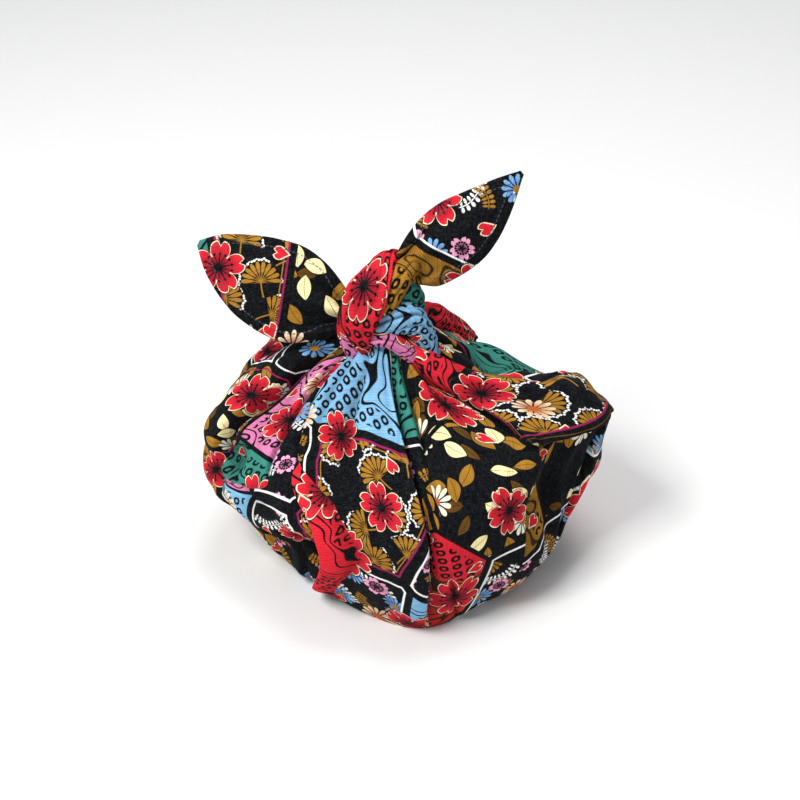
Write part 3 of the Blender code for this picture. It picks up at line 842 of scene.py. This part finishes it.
class Wire:
    # a socket to read; arithmetic on it adds Math nodes, | is the larger of two, and node() adds other kinds
    def __init__(self, tree, socket=None):
        self.tree = tree
        self.socket = socket

    def node(self, kind, settings=None, values=None, out=0):
        made = self.tree.nodes.new(kind)
        for name, value in (settings or {}).items():
            if name == "stops":
                ramp = made.color_ramp.elements
                while len(ramp) < len(value):
                    ramp.new(0.5)
                for stop, (at, colour) in zip(ramp, value):
                    stop.position = at
                    stop.color = (*colour, 1)
            elif name == "interpolation":
                made.color_ramp.interpolation = value
            else:
                setattr(made, name, value)
        for name, value in (values or {}).items():
            if isinstance(value, Wire):
                self.tree.links.new(value.socket, made.inputs[name])
            else:
                made.inputs[name].default_value = value
        return Wire(self.tree, made.outputs[out] if made.outputs else None)

    def other(self, out):
        # another output of the same node
        return Wire(self.tree, self.socket.node.outputs[out])

    def math(self, operation, *others, clamp=False):
        values = dict(enumerate((self, *others)))
        return self.node("ShaderNodeMath", {"operation": operation, "use_clamp": clamp}, values)

    __add__ = __radd__ = joined("ADD")
    __mul__ = __rmul__ = joined("MULTIPLY")
    __sub__ = joined("SUBTRACT")
    __or__ = joined("MAXIMUM")
    __gt__ = joined("GREATER_THAN")
    __lt__ = joined("LESS_THAN")

    def __rsub__(self, before):
        return self.node("ShaderNodeMath", {"operation": "SUBTRACT"}, {0: before, 1: self})

    def __abs__(self):
        return self.math("ABSOLUTE")

    def clamped(self):
        return self.math("ADD", 0, clamp=True)

    def within(self, soft=0.25):
        # 1 where the value is above 0, with a soft edge that many mm wide
        return (self * (1 / soft) + 0.5).clamped()

    def over(self, below, colour):
        # lays a colour over another one, where this mask is 1
        return self.node("ShaderNodeMix", {"data_type": "RGBA"}, {"Factor": self, 6: below, 7: colour}, out=2)

    def vector(self, operation, *others, out=0):
        values = dict(enumerate((self, *others)))
        return self.node("ShaderNodeVectorMath", {"operation": operation}, values, out)

    def scaled(self, by):
        return self.node("ShaderNodeVectorMath", {"operation": "SCALE"}, {0: self, "Scale": by})

    def mapped(self, across, up, turn, shift):
        # the same places scaled, turned by some degrees and moved
        return self.node("ShaderNodeMapping", {"vector_type": "POINT"}, {
            "Vector": self, "Location": (*shift, 0), "Rotation": (0, 0, math.radians(turn)),
            "Scale": (across, up, 1)})

    def xy(self):
        x = self.node("ShaderNodeSeparateXYZ", {}, {"Vector": self})
        return x, x.other("Y")

    def chances(self):
        # three numbers from 0 to 1 out of a colour
        first = self.node("ShaderNodeSeparateColor", {}, {"Color": self})
        return first, first.other(1), first.other(2)

    def cells(self, loose, feature="F1", out=0):
        # the cells about the points of a loose grid
        settings = {"voronoi_dimensions": "2D", "feature": feature}
        values = {"Vector": self, "Scale": 1.0, "Randomness": loose}
        return self.node("ShaderNodeTexVoronoi", settings, values, out)

    def noise(self, scale, detail=2.0):
        values = {"Vector": self, "Scale": scale, "Detail": detail}
        return self.node("ShaderNodeTexNoise", {"noise_dimensions": "2D"}, values)

    def attribute(self, name):
        return self.node("ShaderNodeAttribute", {"attribute_name": name}, out="Fac")


def ink(r, g, b):
    # a screen colour from 0 to 255, as the shader counts it
    linear = lambda c: (c / 12.92) if c <= 0.04045 else ((c + 0.055) / 1.055) ** 2.4
    return (*(linear(c / 255) for c in (r, g, b)), 1.0)


inks = {
    "ground": ink(4, 6, 10),
    "black": ink(4, 5, 8),
    "red": ink(202, 30, 46),
    "deepRed": ink(96, 10, 30),
    "cream": ink(240, 226, 190),
    "white": ink(238, 238, 234),
    "ochre": ink(158, 112, 34),
    "deepOchre": ink(92, 62, 16),
    "sky": ink(120, 171, 207),
    "teal": ink(50, 124, 110),
    "pink": ink(206, 116, 160),
    "palePink": ink(230, 158, 190),
    "magenta": ink(140, 26, 78),
    "orange": ink(186, 88, 38),
    "butter": ink(240, 226, 168),
    "blue": ink(84, 124, 196),
    "thread": ink(70, 74, 84),
    "wrongSide": ink(120, 122, 124),
}

# cell is the pitch of the motif's loose grid, size the motif's own reach and line its outline's width, in mm;
# share is how many of the cells hold one
Motif = namedtuple("Motif", "cell size turn shift share inks line", defaults=(0,))
motifs = {
    "fan": Motif(17.2, 8.4, 5, (0.45, 0.2), 0.96, ("ochre", "white")),
    "small leaf": Motif(15.0, 4.4, 7, (0.6, 0.15), 0.6, ("ochre", "deepOchre")),
    "large leaf": Motif(12.6, 5.4, 33, (0.2, 0.7), 0.92, ("butter", "ochre")),
    "white daisy": Motif(33.0, 7.6, 18, (0.4, 0.6), 0.7, ("white", "cream", "orange")),
    "white sprig": Motif(25.0, 11.0, 14, (0.2, 0.45), 0.5, ("white",)),
    "ochre sprig": Motif(21.0, 9.0, 71, (0.8, 0.1), 0.6, ("ochre",)),
    "blue daisy": Motif(21.0, 6.4, 50, (0.1, 0.9), 0.5, ("blue", "sky", "ochre")),
    "pink blossom": Motif(18.5, 5.6, 12, (0.6, 0.3), 0.5, ("palePink", "pink", "palePink"), 0.1),
    "orange daisy": Motif(66.0, 7.4, 40, (0.35, 0.8), 0.5, ("orange", "cream", "orange")),
    "red blossom": Motif(43.0, 12.2, 28, (0.15, 0.55), 0.7, ("red", "deepRed", "cream"), 0.5),
    "red petal": Motif(31.0, 7.8, 64, (0.7, 0.15), 0.34, ("red", "cream")),
}
Spot = namedtuple("Spot", "x y radius angle chance show")


def scatter(place, region, motif, loose=0.5, spin=1.0, aside=0.0):
    # one motif in each cell of a loose grid, turned by chance up to spin full turns: the places about it,
    # moved aside by some mm, a chance from 0 to 1, and where it shows
    spread = place.mapped(1 / motif.cell, 1 / motif.cell, motif.turn, motif.shift)
    found = spread.cells(loose, out="Position")
    middle = spread.vector("SUBTRACT", found).scaled(motif.cell)
    turn, held, chance = found.other("Color").chances()
    local = middle.node("ShaderNodeVectorRotate", {"rotation_type": "Z_AXIS"}, {
        "Vector": middle, "Angle": turn * (spin * 2 * math.pi)})
    if aside:
        local = local.vector("ADD", (aside, 0, 0))
    x, y = local.xy()
    angle = y.math("ARCTAN2", x)
    return Spot(x, y, local.vector("LENGTH", out="Value"), angle, chance, (held < motif.share) * region)


def petalAngle(angle, count):
    # the angle from the middle of the nearest petal
    half = math.pi / count
    return angle.math("WRAP", half, -half)


def distance(x, y):
    return (x * x + y * y).math("SQRT")


def notchedRim(t, size, waist, notch, sharp):
    # how far a petal reaches, where t goes from 0 at its middle to 1 at its side
    return size * (1 - waist * t * t * t) - (1 - t * sharp).math("MAXIMUM", 0) * (notch * size)


def ringPetals(spot, size, count, middle, full):
    # narrow oval petals all round, widest at that share of their reach
    reach = 1 - ((spot.radius * (1 / size) - middle) * (1 / (1 - middle))).math("POWER", 2)
    wide = reach.math("MAXIMUM", 0).math("SQRT") * (full * math.pi / count)
    oval = ((wide - abs(petalAngle(spot.angle, count))) * spot.radius).within()
    return oval * (1.01 * size - spot.radius).within()


def layBlossoms(place, below, region, motif):
    # five broad notched petals with an outline, a darker heart and stamens
    spot = scatter(place, region, motif)
    petalInk, heartInk, rimInk = (inks[name] for name in motif.inks)
    size, line = motif.size, motif.line
    radius = spot.radius * (1.16 - 0.3 * spot.chance)
    fromMiddle = abs(petalAngle(spot.angle, 5))
    inside = notchedRim(fromMiddle * (5 / math.pi), size, 0.46, 0.2, 5.0) - radius
    beside = (math.pi / 5 - fromMiddle) * radius - 0.5 * line
    joinedUp = beside.within() | (0.45 * size - radius).within()
    outline = 1 - (inside - line).within() * joinedUp
    glow = ((0.8 - radius * (1 / size)) * 1.5).clamped()
    petal = outline.over(glow.over(petalInk, heartInk), rimInk)
    aside = abs(petalAngle(spot.angle, 15)) * radius
    stamens = (0.22 - aside).within() * (0.48 * size - radius).within()
    tips = (0.6 - distance(radius - 0.5 * size, aside)).within()
    streak = (0.5 - fromMiddle * radius - 0.05 * radius).within() * (0.62 * size - radius).within()
    heart = (0.15 * size - radius).within()
    petal = (stamens | tips | heart | streak).over(petal, inks["black"])
    shade = ((inside + 0.5).within() * spot.show).over(below, inks["black"])
    return (inside.within() * spot.show).over(shade, petal)


def layFans(place, below, region, motif):
    # half chrysanthemums: a fan of narrow petals, a dotted rim and a stalk
    petals = 18
    size = motif.size
    spot = scatter(place, region, motif, loose=0.35, spin=0.8)
    radius = spot.radius
    aside = abs(petalAngle(spot.angle, petals))
    upperHalf = (spot.y + 0.1 * size).within(0.5) * spot.show
    rays = (0.16 - aside * radius).within() * (0.5 * size - radius).within()
    fan = (ringPetals(spot, size, petals, 0.66, 0.8) | rays) * upperHalf

    def dots(far, turn, big):
        # a ring of dots, each turned by a share of half a petal
        return (big - distance(radius - far * size, (aside - turn * math.pi / petals) * radius)).within()

    rim = (dots(1.15, 0, 0.5) | dots(1.08, 0.64, 0.5)) * upperHalf
    stalk = (0.3 - abs(spot.x + spot.y * spot.y * 0.02)).within() * (0 - spot.y).within()
    stalk = stalk * (spot.y + 0.85 * size).within() * spot.show
    laid = (fan | stalk).over(below, inks[motif.inks[0]])
    return rim.over(laid, inks[motif.inks[1]])


def layDaisies(place, below, region, motif):
    # twelve narrow petals, in one ink near the heart and another at the tips
    spot = scatter(place, region, motif)
    near, far, heart = (inks[name] for name in motif.inks)
    petal = ringPetals(spot, motif.size, 12, 0.62, 0.74) * spot.show
    outward = (spot.radius * (1 / motif.size) - 0.1).clamped()
    laid = petal.over(below, outward.over(near, far))
    return ((0.27 * motif.size - spot.radius).within() * spot.show).over(laid, heart)


def layPetals(place, below, region, motif):
    # loose petals with a pale outline, notched at the tip
    spot = scatter(place, region, motif, aside=0.5 * motif.size)
    halfAngle = 0.62
    rim = notchedRim(abs(spot.angle) * (1 / halfAngle), motif.size, 0.4, 0.22, 4.0)
    inside = (rim - spot.radius).math("MINIMUM", (halfAngle - abs(spot.angle)) * spot.radius)
    laid = below
    for grow, name in ((0.4, "black"), (0, motif.inks[1]), (-0.5, motif.inks[0])):
        laid = ((inside + grow).within() * spot.show).over(laid, inks[name])
    return laid


def layLeaves(place, below, region, motif):
    # plump bent leaves with a midrib, in one ink or the other
    spot = scatter(place, region, motif, loose=0.55)
    size = motif.size
    along = spot.x * (1 / size)
    fromRib = abs(spot.y + along * along * 0.8)
    inside = (1 - along * along) * (0.55 * size) - fromRib
    leaf = (spot.chance > 0.45).over(inks[motif.inks[0]], inks[motif.inks[1]])
    rib = (0.13 - fromRib).within() * (spot.x + 0.8 * size).within()
    leaf = (rib * 0.8).over(leaf, inks["black"])
    laid = ((inside + 0.5).within() * spot.show).over(below, inks["black"])
    return (inside.within() * spot.show).over(laid, leaf)


def laySprigs(place, below, region, motif):
    # thin bent stems with a few buds
    size = motif.size
    spot = scatter(place, region, motif, aside=size)
    fromStem = abs(spot.radius - size)
    stem = (0.2 - fromStem).within() * (0.8 - abs(spot.angle)).within(0.1)
    step = spot.angle.math("PINGPONG", 0.2) - 0.1
    bud = (0.62 - distance(step * size, (fromStem - 1.5) * 0.55)).within()
    bud = bud * (0.75 - abs(spot.angle)).within(0.1)
    return ((stem | bud) * spot.show).over(below, inks[motif.inks[0]])


# the kinds of patch: where each one's share of all patches starts, and its ground
patches = {
    "fans": (0.00, "ground"),
    "flowers": (0.24, "ground"),
    "leaves": (0.47, "ground"),
    "sky": (0.63, "sky"),
    "teal": (0.71, "teal"),
    "red": (0.79, "red"),
    "ochre": (0.86, "ochre"),
    "pink": (0.94, "pink"),
}
# the patches' pitch in mm, the turn and shift of their loose grid and how loose it is, the pitch of their
# rounded squares, and how far the motifs stay from a patch's edge
patching = {"pitch": 60.0, "turn": 20, "shift": (0.3, 0.1), "loose": 0.78, "tile": 5.2, "margin": 3.4}


def patchwork(place):
    # straight-sided patches, each of one kind, and how far each place is from its patch's edge
    pitch = patching["pitch"]
    spread = place.mapped(1.12 / pitch, 0.88 / pitch, patching["turn"], patching["shift"])
    kind, chance = spread.cells(patching["loose"], out="Color").chances()[:2]
    edge = spread.cells(patching["loose"], "DISTANCE_TO_EDGE") * pitch
    starts = [start for start, ground in patches.values()] + [1.01]
    regions = {
        name: (kind > (low - 0.001)) * (kind < (high - 0.001))
        for name, low, high in zip(patches, starts, starts[1:])
    }
    stops = [(start, inks[ground][:3]) for start, ground in patches.values()]
    laid = kind.node("ShaderNodeValToRGB", {"stops": stops, "interpolation": "CONSTANT"}, {"Fac": kind})
    return laid, regions, edge, chance, spread


def layTiles(spread, below, where):
    # rows of small rounded squares with a hole
    x, y = spread.scaled(patching["pitch"] / patching["tile"]).xy()
    x = abs(x.math("WRAP", 0.5, -0.5))
    y = abs(y.math("WRAP", 0.5, -0.5))
    square = (x | y) * 0.62 + (x + y) * 0.3
    ring = (0.11 - abs(square - 0.25)).within(0.07)
    return (ring * where).over(below, inks["black"])


def makePrint(place):
    laid, regions, edge, chance, spread = patchwork(place)
    plain = 1 - (regions["fans"] + regions["flowers"] + regions["leaves"])
    inner = (edge - patching["margin"]).within()
    grain = place.noise(0.04, 1.0)
    laid = layTiles(spread, laid, (grain > 0.5) * plain * inner)
    contour = (0.013 - abs(grain - 0.45)).within(0.006) | (0.01 - abs(grain - 0.36)).within(0.006)
    laid = (contour * plain).over(laid, inks["black"])
    x, y = place.xy()
    hatch = ((x + y) * 4.4).math("SINE") * 0.5 + 0.5
    laid = (hatch * regions["ochre"] * (grain < 0.5) * 0.6).over(laid, inks["deepOchre"])

    fans, leaves, flowers = regions["fans"] * inner, regions["leaves"], regions["flowers"] * inner
    inPatches = [
        (layFans, "fan", fans),
        (layLeaves, "small leaf", leaves),
        (layLeaves, "large leaf", leaves),
        (layDaisies, "white daisy", leaves * inner),
        (laySprigs, "white sprig", flowers),
        (laySprigs, "ochre sprig", flowers),
        (layDaisies, "blue daisy", flowers),
        (layBlossoms, "pink blossom", flowers),
    ]
    for lay, name, region in inPatches:
        laid = lay(place, laid, region, motifs[name])

    laid = (1.0 - edge).within().over(laid, inks["black"])
    frameLine = (0.5 - abs(edge - 2.9)).within()
    laid = (frameLine * regions["flowers"]).over(laid, inks["white"])
    laid = (frameLine * (regions["fans"] + regions["leaves"] * (chance > 0.5))).over(laid, inks["magenta"])
    laid = ((0.25 - abs(edge - 4.6)).within() * regions["fans"]).over(laid, inks["ochre"])
    for lay, name in ((layDaisies, "orange daisy"), (layBlossoms, "red blossom"), (layPetals, "red petal")):
        laid = lay(place, laid, 1.0, motifs[name])
    return laid


def layBorder(below, gap, show):
    # the border along the cloth's hem on the right lip: a dark band with a broad line and a thin line, each
    # with its middle and half its width in mm
    for middle, half, name in ((1.3, 2.3, "ground"), (3.4, 0.45, "magenta"), (0.9, 0.2, "deepOchre")):
        below = ((half - abs(gap - middle)).within() * show).over(below, inks[name])
    return below


def weave(place):
    # slubbed ribs across the cloth: a rib is about a millimetre, and its yarn is uneven
    slub = place.vector("MULTIPLY", (0.05, 1.1, 1)).noise(1.0)
    rib = ((place.xy()[1] + slub * 1.4) * (2 * math.pi / 1.05)).math("SINE")
    height = rib * 0.5 + slub * 0.9 + place.noise(2.4, 1.0) * 0.5
    # painted sheen: pale streaks of thread either way, added onto the colour so that they show in the dark
    # ground
    threadSheen = 0
    for stretch in ((0.25, 2.6, 1), (2.6, 0.3, 1)):
        threadSheen = (place.vector("MULTIPLY", stretch).noise(1.0) - 0.58).within(0.2) + threadSheen
    return rib, slub, height, threadSheen


# how much the dye shows, and how much the ribs and the slubs add to that; crest lightens crests as rubbed
# wear with a painted highlight, and crease darkens creases as painted shade
finish = {
    "dye": 0.80,
    "rib": 0.12,
    "slub": 0.36,
    "crest": 0.16,
    "crease": 0.42,
    # how much painted sheen the pale thread streaks add to the colour
    "paintedThreadSheen": 0.009,
    "wrongSide": 0.42,
    # the stitches run this far from the ears' edge, so wide, and one for each length
    "stitchLine": 4.1,
    "stitchHalfWidth": 0.24,
    "stitchLength": 2.7,
    "bump": {"Strength": 0.45, "Distance": 0.00022},
    "shader": {
        "Roughness": 0.82, "Metallic": 0.0, "Sheen Weight": 0.01, "Sheen Roughness": 0.5,
        "Specular IOR Level": 0.05,
    },
}


def makeCotton():
    material = bpy.data.materials.new("printedCotton")
    material.use_nodes = True
    tree = material.node_tree
    tree.nodes.clear()
    start = Wire(tree)
    place = start.node("ShaderNodeUVMap", {"uv_map": "cloth"}).scaled(cloth["side"])
    colour = layBorder(makePrint(place), start.attribute("lipGap"), start.attribute("lipShow"))
    rib, slub, height, threadSheen = weave(place)
    crest = start.attribute("crest")
    # painted shade and wear: the colour is lighter along crests as rubbed wear with a painted highlight, and
    # darker in creases as painted shade
    wearAndPaintedShade = crest.math("MAXIMUM", 0) * finish["crest"] + crest.math("MINIMUM", 0) * finish["crease"] + 1
    colour = colour.scaled((finish["dye"] + finish["rib"] * rib + finish["slub"] * slub) * wearAndPaintedShade)
    # painted sheen on the threads, added to the colour as pale streaks
    colour = colour.vector("ADD", threadSheen * finish["paintedThreadSheen"])
    colour = (start.attribute("wrongSide") * finish["wrongSide"]).over(colour, inks["wrongSide"])
    fromLine = abs(start.attribute("rimGap") - finish["stitchLine"])
    x, y = place.xy()
    dash = ((x + y) * (2 * math.pi / finish["stitchLength"])).math("SINE").math("MULTIPLY_ADD", 2.0, 1.2)
    stitch = (finish["stitchHalfWidth"] - fromLine).within(0.1) * dash.clamped()
    colour = (stitch * 0.8).over(colour, inks["thread"])
    height = height + stitch * 2.0 - (0.7 - fromLine).within(0.6) * 0.5
    bump = start.node("ShaderNodeBump", {}, {"Height": height, **finish["bump"]})
    shader = start.node("ShaderNodeBsdfPrincipled", {}, {
        "Base Color": colour, "Normal": bump, **finish["shader"]})
    start.node("ShaderNodeOutputMaterial", {}, {"Surface": shader})
    print("cotton has", len(tree.nodes), "nodes")
    return material


cotton = makeCotton()
for piece in [bundlePiece, *rollPieces, *earPieces]:
    piece.data.materials.append(cotton)
    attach(piece, "root")
    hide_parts("wrapped_cloth")

# Floor, lights and world

stageSet = {
    "floorSize": 20.0,
    "floorColour": (0.80, 0.80, 0.79, 1),
    "world": (0.95, 0.97, 1.0, 1),
    "worldStrength": 0.36,
    # name: place, size, power
    "lights": {
        "key": ((-0.5, -0.5, 1.0), 0.4, 13.5),
        "fill": ((0.85, -0.6, 0.55), 0.7, 0.9),
        "top": ((0.15, 0.3, 1.2), 0.6, 7.5),
    },
}


def makeStage():
    bpy.ops.object.select_all(action="DESELECT")
    bpy.ops.mesh.primitive_plane_add(size=stageSet["floorSize"], location=(0, 0, 0))
    floor = bpy.context.object
    floor.name = "floor"
    paint = bpy.data.materials.new("paleFloor")
    paint.use_nodes = True
    shader = paint.node_tree.nodes["Principled BSDF"]
    shader.inputs["Base Color"].default_value = stageSet["floorColour"]
    shader.inputs["Roughness"].default_value = 0.9
    floor.data.materials.append(paint)
    for name, (at, size, power) in stageSet["lights"].items():
        data = bpy.data.lights.new(name, "AREA")
        data.size = size
        data.energy = power
        light = bpy.data.objects.new(name, data)
        light.location = at
        aim = Vector((0, 0, 0.09)) - light.location
        light.rotation_euler = aim.to_track_quat("-Z", "Y").to_euler()
        bpy.context.collection.objects.link(light)
    world = bpy.data.worlds.new("world")
    bpy.context.scene.world = world
    world.use_nodes = True
    sky = world.node_tree.nodes["Background"]
    sky.inputs["Color"].default_value = stageSet["world"]
    sky.inputs["Strength"].default_value = stageSet["worldStrength"]
    bpy.context.scene.view_settings.view_transform = "Standard"


makeStage()
print("stage set")
